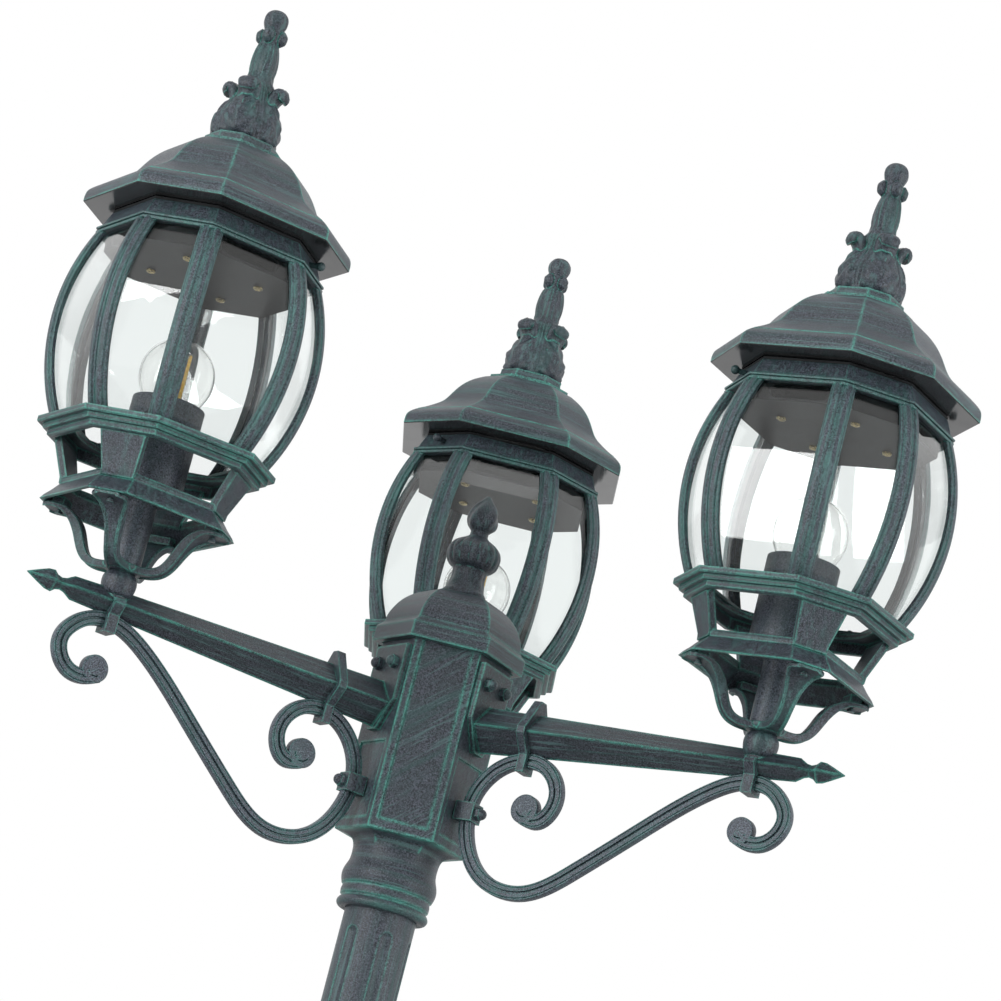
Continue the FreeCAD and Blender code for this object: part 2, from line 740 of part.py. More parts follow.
def make_finial():
    low = collar_top
    ball = finial_top - finial_ball_r
    profile = [
        (0, low), (22.5, low), [(25.0, 357), (24.5, 367), (17.0, 384)],
        [(20.5, 390), (20.5, 396), (12.5, 401)], (9.5, 404), [(10.4, 414), (8.2, 429)],
        [(10.2, 434), (8.6, 440.5)],
        [(finial_ball_r, ball), (6.4, ball + 6.4), (0, finial_top)],
    ]
    return turned(profile)


def make_thumb_screw():
    """Ball-headed screw through the frieze that bears on the tray."""
    narrow = math.cos(math.radians(octagon_half))
    inside = (frieze_in - tray_gap) * narrow
    shank = rod_along_x(thumb_r, inside, frieze_r + 6.5, 0, thumb_z)
    head = Part.makeSphere(3.4, V(frieze_r + 7.5, 0, thumb_z))
    return joined([shank, head])


def make_frame_screws():
    head = joined([rod(screw_head_r, 0, 0.8), Part.makeCone(screw_head_r, 1.4, 1.4, V(0, 0, 0.8))])
    screws = []
    for k in range(4):
        for side in (-1, 1):
            screw = head.copy()
            screw.translate(polar(screw_ring_r, 90 * k + side * 15, gallery_top + foot_ring_t))
            screws.append(screw)
    under = rod(screw_head_r, leg_top - pad_t - screw_head_h, leg_top - pad_t)
    under = joined([under, rod(1.6, leg_top - pad_t, leg_top + 4)])
    under.translate(V(pad_screw_r, 0, 0))
    return screws + ring_of(under, [45 + 90 * k for k in range(4)])


# ---- lamp ----
def make_lamp_cup():
    low = boss_z + stem_h + hub_disc_t
    end = arm_z + 1
    profile = [
        (pipe_bore_r, end), (pipe_r, end), (pipe_r, low), (column_r, low),
        (column_r, cup_bottom - 5), (column_r + 3, cup_bottom), (cup_r - 1.5, cup_bottom),
        (cup_r, cup_bottom + 2), (cup_r, cup_top), (cup_r - cup_wall, cup_top),
        (cup_r - cup_wall, holder_low), (pipe_bore_r, holder_low),
    ]
    return turned(profile)


def make_lamp_holder():
    profile = [
        (pipe_bore_r, holder_low), (holder_r, holder_low), (holder_r, holder_top - 3),
        (holder_r - 2, holder_top), (socket_r, holder_top), (socket_r, socket_floor),
        (pipe_bore_r, socket_floor),
    ]
    return turned(profile)


def lamp_outline(inset):
    """Pear-shaped curve of the lamp's glass, from neck to crown."""
    r = lamp_bulge_r - inset
    z = lamp_bulge_z
    return [(lamp_cap_r + 1.2 - inset, 126), (19.6 - inset, 141), (r * 0.94, 154), (r, z),
            (r * 0.866, z + r * 0.5), (r * 0.5, z + r * 0.866), (0, lamp_top - inset)]


def make_bulb_glass():
    inner = [(lamp_cap_r - lamp_wall, lamp_neck)] + [lamp_outline(lamp_wall)]
    shape = turned([(0, lamp_neck), (lamp_cap_r, lamp_neck), lamp_outline(0)])
    return shape.cut(turned([(0, lamp_neck)] + inner))


def make_bulb_base():
    cap = turned([
        (0, socket_floor), (5, socket_floor), (5, socket_floor + 2), (10, socket_floor + 5),
        (lamp_cap_r - 0.4, socket_floor + 6), (lamp_cap_r, lamp_neck), (0, lamp_neck),
    ])
    post = rod(3.2, lamp_neck, filament_low - 8)
    spread = rod(filament_ring + 2 * filament_r, filament_low - 8, filament_low - 6)
    strips = []
    for k in range(4):
        strip = rod(filament_r, filament_low - 6, filament_high)
        strip.translate(polar(filament_ring, 45 + 90 * k))
        strips.append(strip)
    return joined([cap, post, spread] + strips)


# ---- assembly ----
def at_lantern(shape, angle):
    copy = shape.copy()
    copy.translate(V(arm_reach, 0, arm_level))
    return spun(copy, angle)


def at_arm(shape, angle):
    copy = shape.copy()
    copy.translate(V(0, 0, arm_level))
    return spun(copy, angle)


def save(name, shape):
    shape.exportStep(f"parts/{name}.step")


def main():
    os.makedirs("parts", exist_ok=True)
    save("base", make_base())
    save("post_lower", make_post_lower())
    save("post_joint_ring", make_joint_ring())
    save("post_upper", make_post_upper())
    save("hub_neck", make_hub_neck())
    save("neck_screws", make_neck_screws())
    save("hub_housing", make_hub_housing())
    save("terminal_block", make_terminal_block())
    save("hub_cap", make_hub_cap())
    save("hub_finial", make_hub_finial())

    outline = arm_outline()
    scroll = make_scroll(outline)
    arm_parts = {"arm": make_arm(outline), "scroll": scroll}
    lantern_parts = {
        "stem": make_stem(), "cradle": make_cradle(), "gallery": make_gallery(),
        "lamp_cup": make_lamp_cup(), "lamp_holder": make_lamp_holder(),
        "bulb_glass": make_bulb_glass(), "bulb_base": make_bulb_base(),
        "panes": make_panes(), "roof": make_roof(), "roof_plate": make_roof_plate(),
        "finial": make_finial(),
    }
    shared = {
        "arm_bolts": make_arm_bolts(),
        "clamps_inner": [make_inner_clamp(outline, scroll)],
        "clamps_outer": [make_outer_clamp(outline, scroll)],
        "scroll_clips": [make_clip(scroll)],
        "scroll_bolts": [make_clip_bolt()],
    }
    thumb_screws = []
    frame_screws = []
    for side, angle in arm_angles.items():
        for name, shape in arm_parts.items():
            save(f"{side}_{name}", at_arm(shape, angle))
        for name, shape in lantern_parts.items():
            save(f"{side}_{name}", at_lantern(shape, angle))
        thumb_angle = 45 if side == "right" else -45
        save(f"{side}_cage", at_lantern(make_cage(thumb_angle), angle))
        for screw in ring_of(make_thumb_screw(), (thumb_angle, thumb_angle + 180)):
            thumb_screws.append(at_lantern(screw, angle))
        frame_screws += [at_lantern(s, angle) for s in make_frame_screws()]
    for name, shapes in shared.items():
        save(name, group([at_arm(s, a) for a in arm_angles.values() for s in shapes]))
    save("thumb_screws", group(thumb_screws))
    save("frame_screws", group(frame_screws))


main()
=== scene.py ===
"""Three-lantern street lamp post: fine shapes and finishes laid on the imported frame.

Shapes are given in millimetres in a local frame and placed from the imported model: the
post frame (post axis), the arm frame (post axis, arm along +X) or the lantern frame
(lantern axis, arm along +X). Heights in all three are from the lantern seats.
"""
import math

import bmesh
import bpy
from mathutils import Matrix, Vector


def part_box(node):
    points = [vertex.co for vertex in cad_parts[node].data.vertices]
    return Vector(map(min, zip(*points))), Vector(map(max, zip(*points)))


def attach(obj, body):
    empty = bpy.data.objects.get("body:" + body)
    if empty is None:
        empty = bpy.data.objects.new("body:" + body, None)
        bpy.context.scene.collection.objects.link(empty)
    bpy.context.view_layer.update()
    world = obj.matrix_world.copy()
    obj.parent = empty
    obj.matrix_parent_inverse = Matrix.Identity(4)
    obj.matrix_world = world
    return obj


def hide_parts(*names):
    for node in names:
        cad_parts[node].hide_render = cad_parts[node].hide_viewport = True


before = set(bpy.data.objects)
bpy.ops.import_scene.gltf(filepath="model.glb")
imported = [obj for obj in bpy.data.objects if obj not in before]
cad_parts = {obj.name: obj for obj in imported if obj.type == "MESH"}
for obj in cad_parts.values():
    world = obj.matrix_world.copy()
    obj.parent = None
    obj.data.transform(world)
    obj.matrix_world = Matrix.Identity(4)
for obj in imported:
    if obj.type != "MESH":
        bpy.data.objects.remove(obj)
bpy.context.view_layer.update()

scene = bpy.context.scene
MM = 0.001
SIDES = {"left": -150.0, "right": -30.0, "rear": 90.0}  # directions of the arms, degrees
OCTAGON_HALF = 18.6      # half the angle of the lantern's narrow faces, degrees
HOUSING_DEPTH = 0.1055   # hub housing below the lantern seats, metres
TINY_R = 0.02            # radius that closes a turned shape on its axis, mm

level = Vector(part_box("hub_housing")[0]).z + HOUSING_DEPTH
stem_low, stem_high = (Vector(c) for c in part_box("left_stem"))
stem_mid = (stem_low + stem_high) / 2
reach = math.hypot(stem_mid.x, stem_mid.y)
POST = Matrix.Translation((0, 0, level))


def arm_frame(side):
    """Post axis, with the side's arm along +X."""
    return Matrix.Rotation(math.radians(SIDES[side]), 4, "Z") @ Matrix.Translation((0, 0, level))


def lantern_frame(side):
    """Axis of the side's lantern, with its arm along +X."""
    return arm_frame(side) @ Matrix.Translation((reach, 0, 0))


# ---------------------------------------------------------------- materials
def new_material(name):
    """A material, its node tree and its shader."""
    material = bpy.data.materials.new(name)
    material.use_nodes = True
    tree = material.node_tree
    return material, tree, tree.nodes["Principled BSDF"]


def node(tree, kind, **values):
    """A shader node, with each value set on its input or else on the node itself."""
    made = tree.nodes.new("ShaderNode" + kind)
    for key, value in values.items():
        if key in made.inputs:
            made.inputs[key].default_value = value
        else:
            setattr(made, key, value)
    return made


def object_place(tree):
    return node(tree, "TexCoord").outputs["Object"]


def noise(tree, vector, scale, detail=3.0, roughness=0.6):
    made = node(tree, "TexNoise", Scale=scale, Detail=detail, Roughness=roughness)
    tree.links.new(vector, made.inputs["Vector"])
    return made.outputs["Fac"]


def stretched(tree, vector, scales, rotation=(0, 0, 0)):
    """Coordinates turned by rotation, in degrees, and then scaled along each axis."""
    made = node(tree, "Mapping", vector_type="TEXTURE")
    made.inputs["Scale"].default_value = [1 / s for s in scales]
    made.inputs["Rotation"].default_value = [math.radians(a) for a in rotation]
    tree.links.new(vector, made.inputs["Vector"])
    return made.outputs["Vector"]


def ramp(tree, value, low, high, to_low=0.0, to_high=1.0):
    """The value eased from low..high to to_low..to_high."""
    made = node(tree, "MapRange", interpolation_type="SMOOTHSTEP")
    for key, number in (("From Min", low), ("From Max", high),
                        ("To Min", to_low), ("To Max", to_high)):
        made.inputs[key].default_value = number
    tree.links.new(value, made.inputs["Value"])
    return made.outputs["Result"]


def math_node(tree, kind, a, b):
    made = node(tree, "Math", operation=kind)
    for socket, value in zip(made.inputs, (a, b)):
        if isinstance(value, (int, float)):
            socket.default_value = value
        else:
            tree.links.new(value, socket)
    return made.outputs["Value"]


MIX_FACTOR, MIX_A, MIX_B = 0, 6, 7   # sockets of a Mix node that mixes colours
MIX_RESULT = 2


def mixed(tree, factor, a, b):
    made = node(tree, "Mix", data_type="RGBA")
    for index, value in ((MIX_FACTOR, factor), (MIX_A, a), (MIX_B, b)):
        socket = made.inputs[index]
        if isinstance(value, (int, float)):
            socket.default_value = value
        elif isinstance(value, tuple):
            socket.default_value = (*value, 1.0)
        else:
            tree.links.new(value, socket)
    return made.outputs[MIX_RESULT]


def bumped(tree, shader, heights):
    """Chain of bumps: (height, distance in metres, strength)."""
    last = None
    for height, distance, strength in heights:
        made = node(tree, "Bump", Distance=distance, Strength=strength)
        tree.links.new(height, made.inputs["Height"])
        if last is not None:
            tree.links.new(last, made.inputs["Normal"])
        last = made.outputs["Normal"]
    tree.links.new(last, shader.inputs["Normal"])


def worn_edges(tree, radius, low=0.004, high=0.07):
    """1 on sharp edges, 0 on open surfaces."""
    rounded = node(tree, "Bevel", samples=4, Radius=radius)
    facing = node(tree, "NewGeometry")
    dot = node(tree, "VectorMath", operation="DOT_PRODUCT")
    tree.links.new(rounded.outputs["Normal"], dot.inputs[0])
    tree.links.new(facing.outputs["Normal"], dot.inputs[1])
    return ramp(tree, math_node(tree, "SUBTRACT", 1.0, dot.outputs["Value"]), low, high)


CHARCOAL_LOW = (0.008, 0.0105, 0.015)
CHARCOAL_HIGH = (0.064, 0.074, 0.098)
CHARCOAL_CLOUD = (0.024, 0.036, 0.043)
FLECK = (0.135, 0.175, 0.200)
GREEN_WASH = (0.020, 0.070, 0.066)
GREEN_STROKE = (0.080, 0.158, 0.160)
GREEN_EDGE = (0.070, 0.340, 0.275)


def scaled(color, tone):
    return tuple(c * tone for c in color)


def aged_metal(name, streaks, rotation=(0, 0, 0), edge=0.0026, edge_amount=0.95,
               green_amount=0.6, roughness=0.40, tone=1.0):
    """Charcoal cast aluminium with verdigris brushed over it along one direction."""
    material, tree, shader = new_material(name)
    place = object_place(tree)
    brush = stretched(tree, place, streaks, rotation)
    fine = noise(tree, brush, 1.0, 6.0, 0.75)
    broad = noise(tree, stretched(tree, place, [s * 0.3 for s in streaks], rotation), 1.0, 4.0)
    patches = noise(tree, place, 15.0, 3.0, 0.6)
    cloud = noise(tree, place, 70.0, 4.0, 0.65)
    grain = noise(tree, place, 800.0, 3.0, 0.7)
    speck = noise(tree, place, 2300.0, 2.0, 0.5)
    flecks = ramp(tree, noise(tree, place, 1250.0, 1.0, 0.5), 0.60, 0.70, 0.0, 0.55)

    base = mixed(tree, ramp(tree, grain, 0.40, 0.62), scaled(CHARCOAL_LOW, tone),
                 scaled(CHARCOAL_HIGH, tone))
    base = mixed(tree, ramp(tree, cloud, 0.38, 0.66, 0.0, 0.6), base,
                 scaled(CHARCOAL_CLOUD, tone))
    base = mixed(tree, flecks, base, scaled(FLECK, tone))
    wash = math_node(tree, "MULTIPLY", ramp(tree, broad, 0.50, 0.66), green_amount * 0.75)
    green = mixed(tree, wash, base, GREEN_WASH)
    presence = ramp(tree, patches, 0.34, 0.60, 0.22, 1.0)
    strokes = math_node(tree, "MULTIPLY", ramp(tree, fine, 0.515, 0.60), presence)
    green = mixed(tree, math_node(tree, "MULTIPLY", strokes, green_amount), green,
                  GREEN_STROKE)
    mottle = math_node(tree, "ADD", math_node(tree, "MULTIPLY", grain, 0.6),
                       math_node(tree, "MULTIPLY", cloud, 0.4))
    wear = math_node(tree, "MULTIPLY", worn_edges(tree, edge),
                     ramp(tree, mottle, 0.42, 0.55, 0.25, 1.0))
    wear = math_node(tree, "MULTIPLY", wear, ramp(tree, patches, 0.3, 0.55, 0.55, 1.0))
    color = mixed(tree, math_node(tree, "MULTIPLY", wear, edge_amount), green,
                  GREEN_EDGE)
    tree.links.new(color, shader.inputs["Base Color"])
    gloss = math_node(tree, "ADD", ramp(tree, grain, 0.3, 0.7, roughness - 0.08, roughness + 0.12),
                      math_node(tree, "MULTIPLY", strokes, 0.1))
    tree.links.new(gloss, shader.inputs["Roughness"])
    shader.inputs["Metallic"].default_value = 0.1
    shader.inputs["Specular IOR Level"].default_value = 0.42
    bumped(tree, shader, [(speck, 0.00015, 0.6), (grain, 0.0006, 0.6), (fine, 0.0004, 0.5)])
    return material


def plain(name, color, dark, roughness, metallic=0.9, grain_scale=700.0, gloss=0.5):
    """Bare or moulded material with faint clouds and grain."""
    material, tree, shader = new_material(name)
    place = object_place(tree)
    grain = noise(tree, place, grain_scale, 3.0)
    cloud = noise(tree, place, 45.0, 3.0)
    tree.links.new(mixed(tree, ramp(tree, cloud, 0.35, 0.7), color, dark),
                   shader.inputs["Base Color"])
    tree.links.new(ramp(tree, grain, 0.3, 0.7, roughness * 0.8, roughness * 1.2),
                   shader.inputs["Roughness"])
    shader.inputs["Metallic"].default_value = metallic
    shader.inputs["Specular IOR Level"].default_value = gloss
    bumped(tree, shader, [(grain, 0.0001, 0.35)])
    return material


def clear_glass(name, tint, ior, ripple):
    """Glass or clear plastic, with a faint wave of the given height in metres."""
    material, tree, shader = new_material(name)
    place = object_place(tree)
    wave = noise(tree, place, 26.0, 2.0)
    shader.inputs["Base Color"].default_value = (*tint, 1.0)
    shader.inputs["Transmission Weight"].default_value = 1.0
    shader.inputs["Roughness"].default_value = 0.0
    shader.inputs["IOR"].default_value = ior
    bumped(tree, shader, [(wave, ripple, 0.3)])
    return material


def yellow_phosphor():
    material, tree, shader = new_material("led_filament")
    place = object_place(tree)
    bands = noise(tree, stretched(tree, place, (200, 200, 700)), 1.0, 2.0)
    color = mixed(tree, ramp(tree, bands, 0.4, 0.6), (0.80, 0.44, 0.03), (0.98, 0.68, 0.14))
    tree.links.new(color, shader.inputs["Base Color"])
    tree.links.new(ramp(tree, bands, 0.3, 0.7, 0.35, 0.5), shader.inputs["Roughness"])
    bumped(tree, shader, [(bands, 0.0001, 0.4)])
    return material


ROUND = (14, 14, 520)
UPRIGHT = (520, 520, 14)
ALONG = (14, 520, 520)
paint_round = aged_metal("verdigris_round", ROUND, edge=0.0036)
paint_upright = aged_metal("verdigris_upright", UPRIGHT)
paint_along = aged_metal("verdigris_along_arm", ALONG, edge=0.0032, tone=0.75)
paint_panel = aged_metal("verdigris_panel", (16, 420, 420), rotation=(0, -41, 0), edge=0.0036,
                         edge_amount=1.0)
paint_rib = aged_metal("verdigris_rib", (380, 380, 30), edge=0.0017, edge_amount=0.55,
                       green_amount=0.6, tone=1.15)
paint_gallery = aged_metal("verdigris_gallery", (260, 260, 40), edge=0.0028)
paint_cast = aged_metal("verdigris_cast", (150, 150, 70), edge=0.0017, edge_amount=0.8)
paint_dark = aged_metal("charcoal_lamp_cup", (150, 150, 40), edge=0.0012, edge_amount=0.35,
                        green_amount=0.22, roughness=0.34, tone=1.3)
paint_scroll = aged_metal("verdigris_scroll", (60, 60, 60), edge=0.0009, edge_amount=0.4,
                          green_amount=0.4, tone=1.5)
grey_tray = plain("grey_tray", (0.022, 0.024, 0.026), (0.012, 0.013, 0.014), 0.42, 0.0,
                  gloss=0.1)
roof_lining = plain("glossy_roof_lining", (0.05, 0.052, 0.054), (0.03, 0.031, 0.033), 0.13,
                    0.5)
black_screw = aged_metal("painted_screw", (120, 120, 120), edge=0.0008, edge_amount=0.7,
                         green_amount=0.7)
brass = plain("brass", (0.62, 0.50, 0.25), (0.40, 0.33, 0.18), 0.28)
lamp_cap_metal = plain("lamp_cap_metal", (0.70, 0.70, 0.68), (0.5, 0.5, 0.5), 0.25)
ceramic = plain("holder_ceramic", (0.75, 0.74, 0.70), (0.6, 0.6, 0.57), 0.3, 0.0)
terminal = plain("terminal_plastic", (0.55, 0.54, 0.5), (0.4, 0.4, 0.38), 0.5, 0.0)
pane_glass = clear_glass("pane_glass", (0.93, 0.955, 0.95), 1.45, 0.0002)
lamp_glass = clear_glass("lamp_glass", (0.99, 0.99, 0.985), 1.3, 0.0002)
filament = yellow_phosphor()


# ---------------------------------------------------------------- shapes
class Shape:
    """Skins through rows of points, gathered into one mesh."""

    def __init__(self):
        self.points = []
        self.faces = []

    def skin(self, rows, ends=True, ring=False):
        """Faces between closed rows, capped at both ends or joined last row to first."""
        start = len(self.points)
        count = len(rows[0])
        for row in rows:
            self.points += [Vector(p) for p in row]
        for i in range(len(rows) if ring else len(rows) - 1):
            a = start + i * count
            b = start + (i + 1) % len(rows) * count
            for j in range(count):
                k = (j + 1) % count
                self.faces.append((a + j, a + k, b + k, b + j))
        if ends and not ring:
            last = start + (len(rows) - 1) * count
            self.faces.append(tuple(start + j for j in reversed(range(count))))
            self.faces.append(tuple(last + j for j in range(count)))
        return self


def finish_mesh(mesh, sharp):
    """Outward normals, smooth shading, and sharp edges above an angle in degrees."""
    bm = bmesh.new()
    bm.from_mesh(mesh)
    bmesh.ops.recalc_face_normals(bm, faces=bm.faces)
    bm.to_mesh(mesh)
    bm.free()
    mesh.shade_smooth()
    mesh.set_sharp_from_angle(angle=math.radians(sharp))


def add_bevel(thing, width, angle, segments=2):
    bevel = thing.modifiers.new("soft_edges", "BEVEL")
    bevel.width = width * MM
    bevel.segments = segments
    bevel.limit_method = "ANGLE"
    bevel.angle_limit = math.radians(angle)
    bevel.harden_normals = True
    bevel.use_clamp_overlap = True


def placed(name, mesh, place, material, body, bevel, sharp, stands_for):
    finish_mesh(mesh, sharp)
    mesh.materials.clear()
    mesh.materials.append(material)
    thing = bpy.data.objects.new(name, mesh)
    scene.collection.objects.link(thing)
    thing.matrix_world = place
    if bevel:
        add_bevel(thing, bevel, sharp)
    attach(thing, body)
    if stands_for:
        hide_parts(*stands_for)
    return thing


def piece(name, shape, place, material, body, bevel=0.0, sharp=30.0, stands_for=()):
    """A shape placed in a local frame, riding on a body; bevel is its width in mm."""
    mesh = bpy.data.meshes.new(name)
    mesh.from_pydata([p * MM for p in shape.points], [], shape.faces)
    return placed(name, mesh, place, material, body, bevel, sharp, stands_for)


SAME_POINT = 2e-6    # metres
FLAT_ENOUGH = 1.5    # degrees between faces that are made one


def dressed(name, place, material, body, bevel=0.5, sharp=28.0):
    """Softened copy of a CAD node, with its texture laid in a local frame."""
    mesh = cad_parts[name].data.copy()
    mesh.name = name + "_fine"
    bm = bmesh.new()
    bm.from_mesh(mesh)
    bmesh.ops.remove_doubles(bm, verts=bm.verts, dist=SAME_POINT)
    bmesh.ops.dissolve_limit(bm, angle_limit=math.radians(FLAT_ENOUGH), verts=bm.verts,
                             edges=bm.edges)
    bm.transform(place.inverted())
    bm.to_mesh(mesh)
    bm.free()
    return placed(name + "_fine", mesh, place, material, body, bevel, sharp, [name])


def natural_spline(points, count):
    """Points of the smooth curve through the given ones, spaced by chord length.

    It is the cubic curve with no bend at its ends: its second derivative at each given
    point comes from a tridiagonal system, solved forwards and then back.
    """
    points = [Vector(p) for p in points]
    n = len(points)
    t = [0.0]
    for a, b in zip(points, points[1:]):
        t.append(t[-1] + (b - a).length)
    h = [t[i + 1] - t[i] for i in range(n - 1)]
    upper = [0.0] * n
    bend = [points[0] * 0 for _ in range(n)]
    for i in range(1, n - 1):
        slope = (points[i + 1] - points[i]) / h[i] - (points[i] - points[i - 1]) / h[i - 1]
        pivot = 2 * (h[i - 1] + h[i]) - h[i - 1] * upper[i - 1]
        upper[i] = h[i] / pivot
        bend[i] = (slope * 6 - bend[i - 1] * h[i - 1]) / pivot
    for i in range(n - 2, 0, -1):
        bend[i] = bend[i] - bend[i + 1] * upper[i]
    curve = []
    k = 0
    for step in range(count + 1):
        s = t[-1] * step / count
        while k < n - 2 and s > t[k + 1]:
            k += 1
        a, b = (t[k + 1] - s) / h[k], (s - t[k]) / h[k]
        curve.append(points[k] * a + points[k + 1] * b +
                     ((bend[k] * (a ** 3 - a) + bend[k + 1] * (b ** 3 - b)) * h[k] ** 2) / 6)
    return curve


def outline(items, steps=5):
    """(r, z) points, where a nested list is a smooth stretch from the point before it."""
    points = [items[0]]
    for item in items[1:]:
        if isinstance(item, list):
            run = natural_spline([(*p, 0.0) for p in [points[-1]] + item], steps * len(item))
            points += [(p.x, p.y) for p in run[1:]]
        else:
            points.append(item)
    return points


def polar(r, degrees, z=0.0):
    angle = math.radians(degrees)
    return Vector((r * math.cos(angle), r * math.sin(angle), z))


def circle_row(r, z, count=72, centre=(0.0, 0.0)):
    return [(centre[0] + r * math.cos(a), centre[1] + r * math.sin(a), z)
            for a in (math.tau * k / count for k in range(count))]


def sided_row(corners, r, z):
    return [polar(r, a, z) for a in corners]


QUARTERS = [45 + 90 * k for k in range(4)]
OCTAGON_ANGLES = [a + s * OCTAGON_HALF for a in QUARTERS for s in (-1, 1)]
HEX_ANGLES = [60 * k for k in range(6)]


def lathe(items, count=72, steps=5):
    points = outline(items, steps)
    return Shape().skin([circle_row(max(r, TINY_R), z, count) for r, z in points])


def prism(items, corners, ring=False):
    return Shape().skin([sided_row(corners, max(r, TINY_R), z) for r, z in outline(items)],
                        ring=ring)


def carved(points, count, radius_at, ends=True):
    """A turned shape whose radius also depends on the angle, in degrees."""
    angles = [360 * k / count for k in range(count)]
    return Shape().skin([[polar(max(radius_at(r, a, z), TINY_R), a, z) for a in angles]
                         for r, z in points], ends=ends)


def smooth(x, low, high):
    """0 below low, 1 above high and eased between."""
    t = min(max((x - low) / (high - low), 0.0), 1.0)
    return t * t * (3 - 2 * t)


def between(values, share):
    """Value at a share, 0 to 1, of the way through a list."""
    at = share * (len(values) - 1)
    k = min(int(at), len(values) - 2)
    return values[k] + (values[k + 1] - values[k]) * (at - k)


# ---------------------------------------------------------------- lantern pieces
ROOF_OUTSIDE = [
    (98.2, 274.6), (100.4, 274.6), (101.0, 275.2), (101.0, 279.0),
    [(100.0, 283.4), (97.0, 286.9), (92.8, 290.1)], (92.2, 290.1), (91.8, 290.9),
    [(84.0, 295.5), (77.5, 300.0), (71.5, 305.0), (67.0, 311.5), (63.0, 318.0), (57.5, 325.0),
     (49.5, 332.0), (40.5, 337.6)],
    (37.6, 338.4), (36.6, 338.8), (36.4, 341.0), (29.4, 341.8), (28.5, 343.2), (28.0, 348.6),
    (27.4, 349.0), (0.0, 349.0),
]
ROOF_INSIDE = [
    (0.0, 345.0), (24.0, 345.0), (33.0, 336.5),
    [(46.5, 330.0), (54.5, 323.0), (60.0, 316.0), (64.0, 309.5), (68.5, 303.0), (74.5, 298.0),
     (81.0, 293.6)],
    [(89.0, 288.6), (95.4, 283.6), (98.0, 279.0)],
]


def roof_shape():
    return prism(ROOF_OUTSIDE + ROOF_INSIDE, OCTAGON_ANGLES)


FINIAL_PROFILE = [
    (0.0, 349.0), (23.0, 349.0), (23.6, 350.5),
    [(24.6, 355.0), (25.0, 360.0), (24.3, 366.0), (21.4, 374.0), (17.4, 381.0), (14.6, 388.0),
     (13.0, 394.0), (11.2, 399.0), (9.6, 403.5), (10.0, 408.0), (10.4, 414.0), (9.9, 420.0),
     (8.6, 426.0), (7.7, 430.0), (8.2, 434.0), (8.4, 437.5), (7.4, 440.6)],
    [(8.6, 443.5), (9.8, 448.0), (9.0, 452.6), (6.0, 456.2), (2.4, 457.3)], (0.0, 457.5),
]


LEAF_FOOT = 352.0      # height at which the big leaves start
LEAF_TOP = 392.0
LEAF_SCALLOP = 13.0    # height of one lobe of a big leaf
SPEAR_FOOT = 400.0     # the upper, narrow leaves
LEAF_SINK = 0.6        # the bare metal lies this far under the profile
SOLID_R = 3.0          # no carving inside this radius, at the flat ends


def leaf_relief(angle, z):
    """Height of the carved leaves on the finial, angle in degrees, mm."""
    big = angle % 90 - 45              # from the middle line of the nearest big leaf
    small = (angle + 45) % 90 - 45     # from the middle line of the nearest narrow one
    lift = 0.0
    if z < SPEAR_FOOT:
        body = smooth(z, 349.5, LEAF_FOOT) * (1 - smooth(z, LEAF_TOP, SPEAR_FOOT))
        scallop = math.cos((z - LEAF_FOOT) * math.tau / LEAF_SCALLOP)
        wide = 34.0 - 12.0 * smooth(z, LEAF_FOOT, LEAF_TOP) + 4.0 * scallop
        leaf = 1 - smooth(abs(big), wide - 5.0, wide + 2.0)
        rib = math.exp(-(big / 4.2) ** 2)
        vein = math.cos((abs(big) * 0.42 - (z - LEAF_FOOT)) * math.tau / LEAF_SCALLOP)
        lift += body * leaf * (1.5 + 0.7 * vein + 1.0 * rib)
        lift += (1 - leaf) * body * (0.6 * math.cos(small * math.tau / 15) - 0.6)
    if 398 < z < 432:
        body = smooth(z, 399, 403) * (1 - smooth(z, 427, 431))
        narrows = (z - SPEAR_FOOT) * 0.45
        blade = 1 - smooth(abs(small), 26 - narrows, 31 - narrows)
        rib = math.exp(-(small / 4.5) ** 2)
        lift += body * (0.8 * blade + 0.45 * rib + 0.25 * math.cos(math.radians(angle * 12)))
    if z > 440:
        body = smooth(z, 441, 446) * (1 - smooth(z, 452, 456))
        lift += 0.25 * body * math.cos(math.radians(angle * 8))
    return lift


def finial_radius(r, angle, z):
    return r + leaf_relief(angle, z) - LEAF_SINK if r > SOLID_R else r


def direction(line, i):
    """Unit direction of a line of points at one of them."""
    return (line[min(i + 1, len(line) - 1)] - line[max(i - 1, 0)]).normalized()


TONGUE_STEPS = 22
TONGUE_SIDES = 24
TONGUE_RIB = 3.4       # mm from rib to rib across a leaf tip


def tongue(path, widths, depths, angle, ribs):
    """Rolled leaf tip: a ribbed strap along an (r, z) path."""
    line = natural_spline([(r, 0.0, z) for r, z in path], TONGUE_STEPS)
    turn = Matrix.Rotation(math.radians(angle), 3, "Z")
    rows = []
    for i, p in enumerate(line):
        ahead = direction(line, i)
        up = Vector((-ahead.z, 0, ahead.x))
        share = i / TONGUE_STEPS
        wide, deep = between(widths, share), between(depths, share)
        row = []
        for j in range(TONGUE_SIDES):
            u = math.tau * j / TONGUE_SIDES
            side = math.cos(u) * wide / 2
            relief = 1 + ribs * 0.3 * math.cos(side * math.tau / TONGUE_RIB)
            q = p + up * math.sin(u) * deep / 2 * relief
            row.append(turn @ Vector((q.x, side, q.z)))
        rows.append(row)
    return rows


